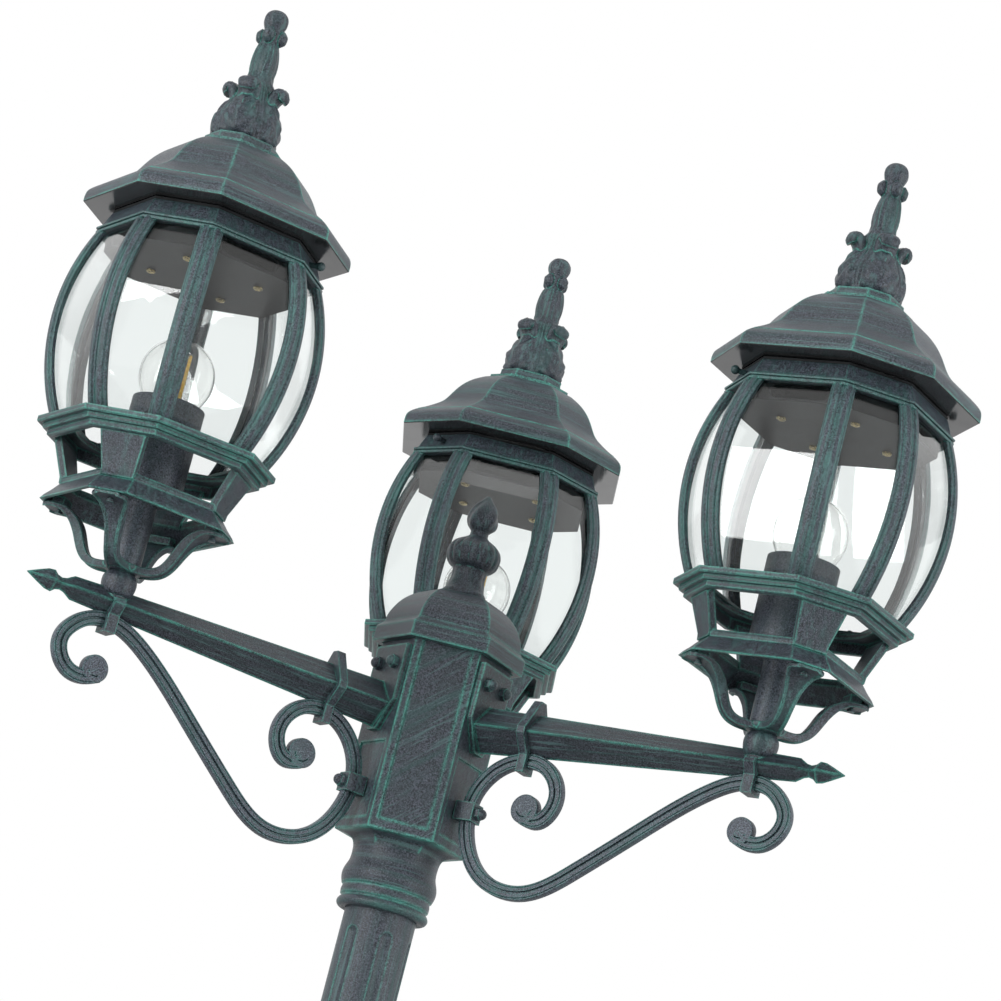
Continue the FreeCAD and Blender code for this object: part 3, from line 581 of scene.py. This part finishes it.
BIG_TIP = [(11.5, 374), (14.0, 383), (17.0, 389.6), (20.4, 391.8), (22.4, 389.2), (21.4, 386.4)]
BIG_TIP_WIDTHS = [13, 15, 17.5, 18.5, 17, 13]
BIG_TIP_DEPTHS = [6, 7.4, 9, 9.4, 8.4, 5.5]
SMALL_TIP = [(6.2, 429.5), (8.0, 433.0), (8.6, 437.0), (7.8, 441.0)]
SMALL_TIP_WIDTHS = [4, 9.0, 9.0, 4]
SMALL_TIP_DEPTHS = [3, 7.4, 7.4, 3]


def finial_shape():
    shape = carved(outline(FINIAL_PROFILE, 4), 144, finial_radius)
    for angle in QUARTERS:
        shape.skin(tongue(BIG_TIP, BIG_TIP_WIDTHS, BIG_TIP_DEPTHS, angle, 0.35))
        shape.skin(tongue(SMALL_TIP, SMALL_TIP_WIDTHS, SMALL_TIP_DEPTHS, angle, 0.1))
    return shape


CAGE_R = 100.5         # corner radius of the cage at its fullest
CAGE_MID = 187.0       # height at which it is fullest
CAGE_ARC = 160.0       # radius of the ribs' bow
CAGE_FLOOR = 109.0
CAGE_FLOOR_R = 63.5    # corner radius of the opening in the floor ring
RIB_LOW, RIB_HIGH = 108.8, 255.5
RIB_DEPTH = 4.2
PANE_LOW, PANE_HIGH = 111.6, 254.0
PANE_BEHIND = 4.4      # the panes lie this far inside the bow
PANE_INSET = 3.0       # their edges lie this far from the corners
PANE_THICK = 2.4


def bow(z):
    """Corner radius of the cage at a height."""
    return CAGE_R - CAGE_ARC + math.sqrt(CAGE_ARC ** 2 - (z - CAGE_MID) ** 2)


def bow_lift(z):
    """Outward slope of the bow, as a unit direction (outward, up)."""
    rise = (z - CAGE_MID) / math.sqrt(CAGE_ARC ** 2 - (z - CAGE_MID) ** 2)
    return 1 / math.hypot(1, rise), rise / math.hypot(1, rise)


RIB_HALF = [(0.0, -1.5), (1.1, -1.5), (1.7, -1.0), (2.3, 0.3), (3.0, 0.7), (6.6, 0.7), (7.3, 0.2),
            (7.7, -0.7), (9.4, -0.9), (10.0, -1.4), (10.0, -RIB_DEPTH)]


def rib_rows(corner, before, after, steps=30):
    """Rows of the angled rib that follows the bow along one corner of the octagon."""
    here = polar(1.0, corner)
    sides = [(polar(1.0, other) - here).normalized() for other in (before, after)]
    outs = []
    for s in sides:
        face = Vector((s.y, -s.x, 0))
        outs.append(face if face.dot(here) > 0 else -face)
    rows = []
    for i in range(steps + 1):
        z = RIB_LOW + (RIB_HIGH - RIB_LOW) * i / steps
        flat, lift = bow_lift(z)
        edge = here * bow(z) + Vector((0, 0, z))
        row = []
        for index, (side, out) in enumerate(zip(sides, outs)):
            half = [edge + side * s + (out * flat + Vector((0, 0, lift))) * h
                    for s, h in RIB_HALF]
            row += half[::-1] if index == 0 else half[1:]
        inner = here * (bow(z) - RIB_DEPTH) + Vector((0, 0, z))
        row += [inner + sides[1] * 4.0, inner, inner + sides[0] * 4.0]
        rows.append(row)
    return rows


FRIEZE = [
    (75.6, 253.8), (85.4, 253.8), (86.0, 254.3), (86.0, 255.6), (84.3, 256.0), (84.3, 256.7),
    (86.3, 257.0), (86.3, 258.4), (84.6, 259.2), (83.0, 259.8), (77.9, 271.4), (77.2, 272.0),
    (75.6, 272.0),
]


def cage_shape():
    shape = Shape()
    corners = OCTAGON_ANGLES
    for i, corner in enumerate(corners):
        shape.skin(rib_rows(corner, corners[i - 1], corners[(i + 1) % len(corners)]))
    low = bow(CAGE_FLOOR)
    floor_ring = [(low, CAGE_FLOOR), (low, CAGE_FLOOR + 1.6), (low - 0.6, CAGE_FLOOR + 2.0),
                  (CAGE_FLOOR_R, CAGE_FLOOR + 2.0), (CAGE_FLOOR_R, CAGE_FLOOR)]
    for section in (FRIEZE, floor_ring):
        shape.skin([sided_row(corners, r, z) for r, z in section], ring=True)
    return shape


def panes_shape(steps=30):
    shape = Shape()
    corners = OCTAGON_ANGLES
    for i, corner in enumerate(corners):
        rows = []
        for k in range(steps + 1):
            z = PANE_LOW + (PANE_HIGH - PANE_LOW) * k / steps
            a = polar(bow(z) - PANE_BEHIND, corner, z)
            b = polar(bow(z) - PANE_BEHIND, corners[(i + 1) % len(corners)], z)
            along = (b - a).normalized()
            inward = Vector((0, 0, 1)).cross(along) * PANE_THICK
            a += along * PANE_INSET
            b -= along * PANE_INSET
            rows.append([a, b, b + inward, a + inward])
        shape.skin(rows)
    return shape


CRADLE_LINE = [(7.0, 14.4), (15.0, 14.4), (22.5, 14.9), (29.0, 17.6), (34.3, 23.9),
               (38.3, 32.0), (42.4, 39.6), (48.2, 46.0), (55.0, 49.6), (61.0, 50.3), (66.0, 50.3),
               (70.4, 50.3)]
CRADLE_WIDTHS = [21.0, 16.5, 12.4, 10.8, 10.6, 11.8, 14.4, 19.0, 24.0, 26.6, 26.0, 18.0]
CRADLE_DEPTHS = [5.4, 5.4, 6.0, 6.6, 7.2, 7.4, 7.2, 6.0, 4.4, 3.5, 3.4, 3.2]
LEG_LIP = 1.9          # width of the raised edges of a leg
LEG_GROOVE = 1.1       # depth of the channel between them


def mirrored(points):
    return [(-s, h) for s, h in reversed(points)]


def leg_row(centre, out, wide, deep):
    """Bar section with a lip along both edges of its outer face and rounded back edges."""
    half = wide / 2
    front = deep / 2
    outer = [(-half, front - 0.9), (-half + 0.5, front), (-half + LEG_LIP, front),
             (-half + LEG_LIP + 0.6, front - LEG_GROOVE)]
    back = [(half, -front + 0.8), (half - 0.8, -front)]
    section = outer + mirrored(outer) + back + mirrored(back)
    return [centre + Vector((0, s, 0)) + out * h for s, h in section]


def cradle_shape():
    """Four legs that curl up from a disc to flat pads under the lantern."""
    steps = 48
    line = natural_spline([(r, 0, z) for r, z in CRADLE_LINE], steps)
    lengths = [0.0]
    for a, b in zip(CRADLE_LINE, CRADLE_LINE[1:]):
        lengths.append(lengths[-1] + math.dist(a, b))
    shape = lathe([(5.0, 11.4), (10.0, 11.4), [(13.4, 12.4), (15.4, 14.8), (15.2, 17.0)],
                   (14.6, 17.4), (5.0, 17.4)])
    for angle in QUARTERS:
        turn = Matrix.Rotation(math.radians(angle), 3, "Z")
        rows = []
        for i, p in enumerate(line):
            ahead = direction(line, i)
            out = Vector((ahead.z, 0, -ahead.x))
            s = lengths[-1] * i / steps
            j = max(m for m in range(len(lengths) - 1) if lengths[m] <= s + 1e-6)
            share = (j + (s - lengths[j]) / (lengths[j + 1] - lengths[j])) / (len(lengths) - 1)
            row = leg_row(p, out, between(CRADLE_WIDTHS, share), between(CRADLE_DEPTHS, share))
            rows.append([turn @ q for q in row])
        shape.skin(rows)
    return shape


LAMP_OUTSIDE = [
    (13.2, 119.2), [(14.4, 126.0), (19.6, 141.0), (25.8, 154.0), (27.5, 164.5), (23.8, 178.3),
                    (13.8, 188.2), (4.0, 191.7)], (0.0, 192.0),
]


LAMP_FOOT = (12.4, 119.2)   # inner rim of the glass, on the lamp's cap
LAMP_WALL = 0.8
FILAMENT_RING = 6.0         # the LED strips stand on a circle of this radius
LEAD_R = 0.35


def lamp_shape():
    """Glass of the lamp, with an inner face so that it refracts as a thin shell."""
    outer = outline(LAMP_OUTSIDE, 6)
    inner = [(max(r - LAMP_WALL, 0.0), z - 0.5) for r, z in reversed(outer)]
    rows = [circle_row(max(r, TINY_R), z, 64) for r, z in outer + inner[:-1] + [LAMP_FOOT]]
    return Shape().skin(rows, ring=True)


def lamp_inside():
    """Glass stem, the four leads and the star that holds the strips' upper ends."""
    shape = Shape()
    shape.skin([circle_row(r, z, 32) for r, z in outline([
        (5.5, 119.0), (5.0, 126.0), [(3.4, 133.0), (3.0, 141.0)], (TINY_R, 141.5)])])
    for angle in QUARTERS:
        foot, top = polar(FILAMENT_RING * 0.3, angle), polar(FILAMENT_RING * 0.9, angle)
        shape.skin([circle_row(LEAD_R, 140, 8, foot), circle_row(LEAD_R, 147.5, 8, top)])
    shape.skin([circle_row(r, z, 24) for r, z in
                [(0.5, 139), (0.5, 179), (6.4, 182.2), (6.4, 182.8), (TINY_R, 182.9)]])
    return shape


def filaments_shape():
    shape = Shape()
    for angle in QUARTERS:
        centre = polar(FILAMENT_RING, angle)
        shape.skin([circle_row(r, z, 14, centre) for r, z in
                    ((0.6, 143.4), (1.25, 144.0), (1.25, 181.0), (0.6, 181.8))])
    return shape


def lamp_cap_shape():
    """Screwed cap, its thread drawn as plain rings."""
    items = [(0.0, 93.2), (4.6, 93.2), (5.0, 95.2), (9.6, 97.6), (12.4, 98.8)]
    for turn in range(6):
        z = 100.0 + 2.4 * turn
        items.append([(13.1, z + 1.0), (12.4, z + 2.2)])
    items += [(12.8, 116.0), (13.2, 117.5), (13.2, 119.2), (0.0, 119.2)]
    return lathe(items, 64, 3)


SCREW_RINGS = [(1.0, 0.0), (1.0, 0.45), (0.86, 0.8), (0.6, 1.0), (0.45, 1.0), (0.3, 1.0),
               (0.0, 1.0)]
RECESS = 0.55          # depth of the cross, as a share of the head's height


def screw_head(shape, centre, axis, radius, height, turn):
    """Dished round head with a cross recess, on an axis that looks out of the surface."""
    axis = Vector(axis).normalized()
    side = axis.orthogonal().normalized()
    other = axis.cross(side)
    rows = []
    for scale, rise in SCREW_RINGS:
        row = []
        for j in range(32):
            u = math.tau * j / 32 + turn
            cross = max(abs(math.cos(2 * (u - turn))) - 0.72, 0) * 3.4
            dip = RECESS * cross if scale < 0.5 else 0.0
            if scale < 0.2:
                dip = RECESS
            row.append(Vector(centre) + (side * math.cos(u) + other * math.sin(u)) * radius *
                       max(scale, 0.02) + axis * height * (rise - dip))
        rows.append(row)
    shape.skin(rows)


TRAY_FLOOR = 241.0
TRAY_SCREW_RING = 42.0


def tray_screws():
    shape = Shape()
    for angle in QUARTERS:
        centre = polar(TRAY_SCREW_RING, angle, TRAY_FLOOR)
        screw_head(shape, centre, (0, 0, -1), 3.6, 2.0, math.radians(angle))
    return shape


STEM_PROFILE = [
    (5.0, -6.6), (9.0, -6.6), [(10.8, -5.0), (12.4, -0.8), (13.0, 3.4), (12.4, 7.6), (10.2, 11.0)],
    (9.6, 11.4), (5.0, 11.4),
]

# ---------------------------------------------------------------- arm pieces
SCROLL_PATH = [
    (271.5, -65.2), (280.5, -69.0), (292.5, -69.2), (303.6, -60.8), (306.9, -47.6),
    (301.3, -36.8), (290.5, -28.2), (275, -25), (240, -38), (196, -71), (150, -108),
    (111, -129.5), (76, -122), (55, -93), (53, -62), (77, -34), (107, -34), (121, -60),
    (110, -75), (98, -73),
]
BAR_HALF = [(-5.5, 2.6), (-5.1, 3.4), (-4.4, 3.5), (-4.0, 2.9), (-3.5, 3.7), (-1.1, 3.8),
            (-0.6, 1.9), (0.6, 1.9), (1.1, 3.8), (3.5, 3.7), (4.0, 2.9), (4.4, 3.5), (5.1, 3.4),
            (5.5, 2.6)]
BAR_SECTION = BAR_HALF + [(s, -h) for s, h in reversed(BAR_HALF)]


def eye_disc(shape, x, z, radius, groove_from, groove_to):
    """Round end of the scroll, dished on both faces, with the bar's groove part way round."""
    count = 60
    rings = [(1.0, 0.0), (1.0, 0.8), (0.96, 0.96), (0.9, 1.0), (0.66, 1.0), (0.59, 0.97),
             (0.54, 0.6), (0.49, 0.96), (0.4, 0.97), (0.2, 0.94), (0.01, 0.93)]
    for face in (-1, 1):
        rows = []
        for scale, rise in rings:
            row = []
            for j in range(count):
                u = 360 * j / count
                depth = rise
                if 0.5 < scale < 0.56 and not groove_from <= u <= groove_to:
                    depth = 0.96
                at = polar(radius * scale, u)
                row.append((x + at.x, face * EYE_HALF * depth, z + at.y))
            rows.append(row)
        shape.skin(rows, ends=False)


DRAWN_REACH = 274.5    # reach of the arm for which the scroll's points are given
SCROLL_MIDDLE = 150    # points beyond this follow the lantern, the others the hub
EYE_HALF = 3.85        # half the thickness of the round ends


def scroll_shape():
    stretch = reach / MM - DRAWN_REACH
    path = [(x + (stretch if x > SCROLL_MIDDLE else 0.0), 0.0, z) for x, z in SCROLL_PATH]
    line = natural_spline(path, 260)
    rows = []
    for i, p in enumerate(line):
        ahead = direction(line, i)
        across = Vector((ahead.z, 0, -ahead.x))
        rows.append([p + across * s + Vector((0, h, 0)) for s, h in BAR_SECTION])
    shape = Shape().skin(rows)
    eye_disc(shape, 275.5 + stretch, -61.6, 10.2, 235, 330)
    eye_disc(shape, 98.6, -67, 11.1, 205, 350)
    return shape


# ---------------------------------------------------------------- hub pieces
CAP_PROFILE = [
    (51.2, 40.0), (57.2, 40.0), (57.7, 40.6), (57.7, 51.6), (57.1, 52.6), (55.6, 53.6),
    (53.4, 55.6), (52.6, 56.8),
    [(52.3, 59.0), (51.4, 63.0), (49.2, 68.0), (45.6, 74.0), (40.6, 79.4), (33.6, 84.2),
     (26.0, 87.0), (18.0, 88.0)], (0.0, 88.0), (0.0, 84.0),
    [(14.0, 84.0), (29.5, 81.5), (36.5, 78.0), (42.0, 72.5), (45.5, 67.0), (48.0, 62.0)],
    (49.5, 52.0), (51.2, 50.0),
]


HUB_FINIAL_PROFILE = [
    (0.0, 86.0), (16.0, 87.4), (16.8, 88.6), (16.8, 91.4), (15.8, 92.8), (14.8, 94.0),
    [(13.4, 99.0), (12.5, 104.0), (12.7, 108.0)], (13.4, 110.4),
    [(17.6, 113.0), (19.8, 118.0), (20.2, 123.0), (18.6, 128.0), (14.6, 132.0), (10.6, 134.4)],
    (8.2, 136.0), (7.0, 137.4), (6.8, 140.4), (7.2, 141.2),
    [(9.8, 144.2), (11.6, 149.0), (11.2, 154.0), (9.0, 159.4), (5.8, 164.2), (3.2, 167.6)],
    (2.0, 169.2), (0.0, 169.9),
]


def hub_finial_radius(r, angle, z):
    """Fluted neck, lobed bulb and twisted bud, from the bottom up."""
    lift = 0.0
    if 111 < z < 135:
        body = smooth(z, 111, 115) * (1 - smooth(z, 130, 134.5))
        lobe = abs(math.cos(math.radians(angle * 8 + (z - 122) * 2.0)))
        lift = body * (1.5 * lobe ** 0.6 - 1.1)
    if 96 < z < 110:
        lobe = abs(math.cos(math.radians(angle * 4)))
        lift = 0.8 * smooth(z, 96, 99) * (1 - smooth(z, 107, 110)) * (lobe - 0.5)
    if z > 142:
        body = smooth(z, 142, 145.5) * (1 - smooth(z, 161, 167))
        lift = body * 0.75 * math.cos(math.radians(angle * 5 - (z - 142) * 13))
    return r + (lift if r > 2 else 0.0)


def hub_finial_shape():
    return carved(outline(HUB_FINIAL_PROFILE), 144, hub_finial_radius)


NECK_PROFILE = [
    (27.2, -161.0), [(33.6, -160.0), (34.7, -157.2), (33.4, -154.4)], (32.2, -153.4),
    (32.4, -152.4), (33.4, -151.4), [(33.7, -148.0), (33.2, -145.4)], (33.2, -144.4),
    (34.4, -143.4),
    [(35.8, -138.4), (35.2, -132.0), (33.2, -126.6), (32.5, -121.0), (32.7, -116.0)],
    [(34.0, -111.4), (37.0, -108.4), (42.8, -106.4)], (49.3, -105.7), (49.3, -105.2),
    (20.0, -105.2),
]
ROUND_BELOW, HEXAGON_ABOVE = -121.0, -106.0


def neck_radius(r, angle, z):
    """Round below, and above it the housing's hexagon."""
    blend = smooth(z, ROUND_BELOW, HEXAGON_ABOVE)
    from_corner = (angle + 30) % 60 - 30
    hexagon = r * math.cos(math.radians(30)) / math.cos(math.radians(30 - abs(from_corner)))
    return r * (1 - blend) + hexagon * blend


def neck_shape():
    """Turned collar whose top flares out to the corners of the housing."""
    return carved(outline(NECK_PROFILE, 6), 120, neck_radius, ends=False)


# ---------------------------------------------------------------- assembly
def build_post():
    for name in ("base", "post_joint_ring"):
        dressed(name, POST, paint_round, "post", 0.6)
    for name in ("post_lower", "post_upper"):
        dressed(name, POST, paint_upright, "post", 0.5)
    piece("hub_neck_fine", neck_shape(), POST, paint_round, "post", stands_for=["hub_neck"])
    dressed("hub_housing", POST, paint_panel, "post", 0.5)
    piece("hub_cap_fine", prism(CAP_PROFILE, HEX_ANGLES, ring=True), POST, paint_round, "cap",
          bevel=0.7, sharp=13, stands_for=["hub_cap"])
    piece("hub_finial_fine", hub_finial_shape(), POST, paint_cast, "cap",
          stands_for=["hub_finial"], sharp=50)
    dressed("neck_screws", POST, black_screw, "post", 0.0)
    dressed("terminal_block", POST, terminal, "post", 0.3)


def build_shared():
    for name in ("clamps_inner", "clamps_outer", "scroll_clips"):
        dressed(name, POST, paint_cast, "post", 0.4)
    for name in ("arm_bolts", "scroll_bolts", "thumb_screws", "frame_screws"):
        dressed(name, POST, black_screw, "post", 0.25)


LINING_BELOW = -0.2    # roof faces that look down more than this have the inside finish


def build_side(side):
    arm = arm_frame(side)
    lantern = lantern_frame(side)
    roof_body = side + "_roof_body"
    bulb_body = side + "_bulb"
    dressed(side + "_arm", arm, paint_along, "post", 0.5)
    piece(side + "_scroll_fine", scroll_shape(), arm, paint_scroll, "post",
          stands_for=[side + "_scroll"], sharp=40)
    piece(side + "_stem_fine", lathe(STEM_PROFILE), lantern, paint_cast, "post",
          stands_for=[side + "_stem"])
    piece(side + "_cradle_fine", cradle_shape(), lantern, paint_cast, "post", bevel=0.3,
          sharp=40, stands_for=[side + "_cradle"])
    dressed(side + "_gallery", lantern, paint_gallery, "post", 0.5)
    dressed(side + "_lamp_cup", lantern, paint_dark, "post", 0.4)
    dressed(side + "_lamp_holder", lantern, ceramic, "post", 0.4)
    piece(side + "_cage_fine", cage_shape(), lantern, paint_rib, "post", bevel=0.25, sharp=16,
          stands_for=[side + "_cage"])
    piece(side + "_panes_fine", panes_shape(), lantern, pane_glass, "post", bevel=0.3,
          stands_for=[side + "_panes"])
    roof = piece(side + "_roof_fine", roof_shape(), lantern, paint_round, roof_body, bevel=0.8,
                 sharp=13, stands_for=[side + "_roof"])
    roof.data.materials.append(roof_lining)
    for face in roof.data.polygons:
        if face.normal.z < LINING_BELOW:
            face.material_index = 1
    dressed(side + "_roof_plate", lantern, grey_tray, roof_body, 0.4)
    piece(side + "_tray_screws", tray_screws(), lantern, brass, roof_body)
    piece(side + "_finial_fine", finial_shape(), lantern, paint_cast, roof_body,
          stands_for=[side + "_finial"], sharp=55)
    piece(side + "_lamp_fine", lamp_shape(), lantern, lamp_glass, bulb_body, sharp=60,
          stands_for=[side + "_bulb_glass"])
    piece(side + "_lamp_cap_fine", lamp_cap_shape(), lantern, lamp_cap_metal, bulb_body,
          stands_for=[side + "_bulb_base"])
    piece(side + "_lamp_stem", lamp_inside(), lantern, lamp_glass, bulb_body)
    piece(side + "_filaments", filaments_shape(), lantern, filament, bulb_body)


build_post()
build_shared()
for side_name in SIDES:
    build_side(side_name)


# ---------------------------------------------------------------- stage, light, camera
FLOOR_HALF = 6.0


def build_floor():
    mesh = bpy.data.meshes.new("floor")
    corners = [(x * FLOOR_HALF, y * FLOOR_HALF, 0)
               for x, y in ((-1, -1), (1, -1), (1, 1), (-1, 1))]
    mesh.from_pydata(corners, [], [(0, 1, 2, 3)])
    material, tree, shader = new_material("pale_floor")
    place = object_place(tree)
    cloud = noise(tree, place, 3.0, 3.0)
    tree.links.new(mixed(tree, cloud, (0.42, 0.42, 0.42), (0.48, 0.48, 0.48)),
                   shader.inputs["Base Color"])
    shader.inputs["Roughness"].default_value = 0.8
    mesh.materials.append(material)
    floor = bpy.data.objects.new("floor", mesh)
    scene.collection.objects.link(floor)


def soft_light(name, place, target, size, power):
    """Area light of a size in metres, unseen by the camera, aimed at a point."""
    data = bpy.data.lights.new(name, "AREA")
    data.shape = "RECTANGLE"
    data.size, data.size_y = size
    data.energy = power
    light = bpy.data.objects.new(name, data)
    scene.collection.objects.link(light)
    light.location = place
    light.rotation_euler = (Vector(target) - Vector(place)).to_track_quat("-Z", "Y").to_euler()
    light.visible_camera = False


SKY_FRONT, SKY_BEHIND = 0.78, 1.0   # strength towards -Y and towards +Y


def build_light():
    world = bpy.data.worlds.new("studio")
    world.use_nodes = True
    tree = world.node_tree
    tree.nodes["Background"].inputs["Color"].default_value = (1, 1, 1, 1)
    split = node(tree, "SeparateXYZ")
    tree.links.new(node(tree, "TexCoord").outputs["Generated"], split.inputs[0])
    tree.links.new(ramp(tree, split.outputs["Y"], -0.35, 0.45, SKY_FRONT, SKY_BEHIND),
                   tree.nodes["Background"].inputs["Strength"])
    scene.world = world
    middle = (0, 0, level + 0.1)
    soft_light("left_box", (-1.9, -1.7, level + 0.3), middle, (0.8, 1.9), 46)
    soft_light("right_box", (2.0, -1.0, level + 0.1), middle, (0.6, 1.9), 26)
    soft_light("top_box", (0.2, -0.9, level + 2.0), middle, (1.2, 1.2), 5)


CAMERA_ANGLES = (1.78, 14.96, 14.47)        # yaw, pitch and roll, degrees
CAMERA_PLACE = (0.10945, -3.2306, -0.6944)   # metres, height from the lantern seats
CAMERA_LENS = 158.84


def build_camera():
    yaw, pitch, roll = (math.radians(a) for a in CAMERA_ANGLES)
    flat = Vector((-math.sin(yaw), math.cos(yaw), 0))
    side = Vector((math.cos(yaw), math.sin(yaw), 0))
    forward = flat * math.cos(pitch) + Vector((0, 0, math.sin(pitch)))
    up = -flat * math.sin(pitch) + Vector((0, 0, math.cos(pitch)))
    right = side * math.cos(roll) + up * math.sin(roll)
    top = -side * math.sin(roll) + up * math.cos(roll)
    data = bpy.data.cameras.new("camera")
    data.lens = CAMERA_LENS
    data.sensor_width = 36.0
    data.clip_end = 100.0
    camera = bpy.data.objects.new("camera", data)
    scene.collection.objects.link(camera)
    matrix = Matrix((right, top, -forward)).transposed().to_4x4()
    matrix.translation = Vector(CAMERA_PLACE) + Vector((0, 0, level))
    camera.matrix_world = matrix
    scene.camera = camera


build_floor()
build_light()
build_camera()
scene.view_settings.view_transform = "Standard"
